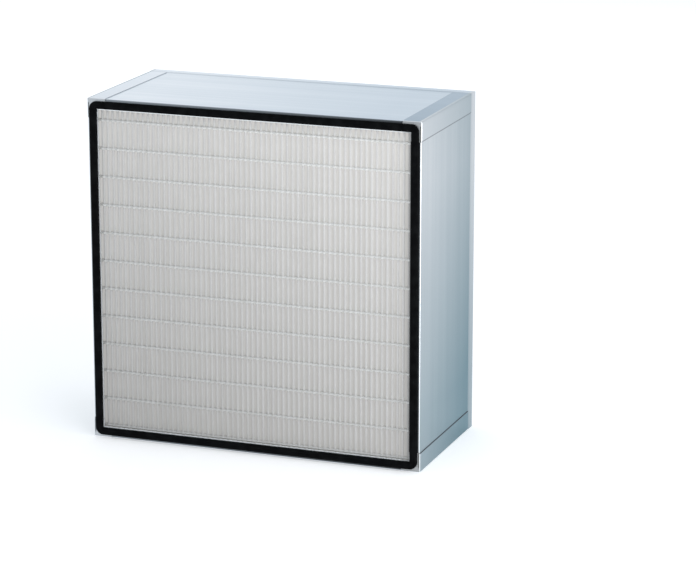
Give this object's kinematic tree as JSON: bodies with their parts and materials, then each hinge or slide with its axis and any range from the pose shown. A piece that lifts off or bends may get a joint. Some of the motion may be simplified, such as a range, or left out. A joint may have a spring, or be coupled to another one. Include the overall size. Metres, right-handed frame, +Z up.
{
  "type": "epa filter",
  "caption": "Square box air filter: finely pleated paper pack with hot-melt separators, potted in a folded sheet-metal casing with corner angles and a foam gasket on the front flange.",
  "frame": {"origin": "middle of the bottom of the whole filter, gasket included, on the surface that it stands on", "axes": "-Y out of the gasket side, which is the front in the picture, +Y out of the rear flange, +X to the right as seen from the gasket side, +Z up across the rows of separators"},
  "size_m": [0.61, 0.298, 0.61],
  "materials": {
    "casing_sheet": "satin rolled sheet with a cool bluish sheen",
    "corner_sheet": "satin rolled sheet, a little darker and bluer than the panels",
    "gasket_rubber": "foamed rubber with a smooth, slightly shiny skin",
    "filter_paper": "matt glass fibre paper",
    "hot_melt": "milky beads, slightly waxy",
    "potting": "cast polyurethane, satin"
  },
  "bodies": {
    "root": {"gasket": "gasket_rubber", "media_pack": "filter_paper", "top_panel": "casing_sheet", "top_potting": "potting", "right_panel": "casing_sheet", "right_potting": "potting", "bottom_panel": "casing_sheet", "bottom_potting": "potting", "left_panel": "casing_sheet", "left_potting": "potting", "corner_angle_top_right": "corner_sheet", "corner_angle_bottom_right": "corner_sheet", "corner_angle_bottom_left": "corner_sheet", "corner_angle_top_left": "corner_sheet", "front_separator_01": "hot_melt", "rear_separator_01": "hot_melt", "front_separator_02": "hot_melt", "rear_separator_02": "hot_melt", "front_separator_03": "hot_melt", "rear_separator_03": "hot_melt", "front_separator_04": "hot_melt", "rear_separator_04": "hot_melt", "front_separator_05": "hot_melt", "rear_separator_05": "hot_melt", "front_separator_06": "hot_melt", "rear_separator_06": "hot_melt", "front_separator_07": "hot_melt", "rear_separator_07": "hot_melt", "front_separator_08": "hot_melt", "rear_separator_08": "hot_melt", "front_separator_09": "hot_melt", "rear_separator_09": "hot_melt", "front_separator_10": "hot_melt", "rear_separator_10": "hot_melt", "front_separator_11": "hot_melt", "rear_separator_11": "hot_melt", "front_separator_12": "hot_melt", "rear_separator_12": "hot_melt"}
  },
  "joints": []
}
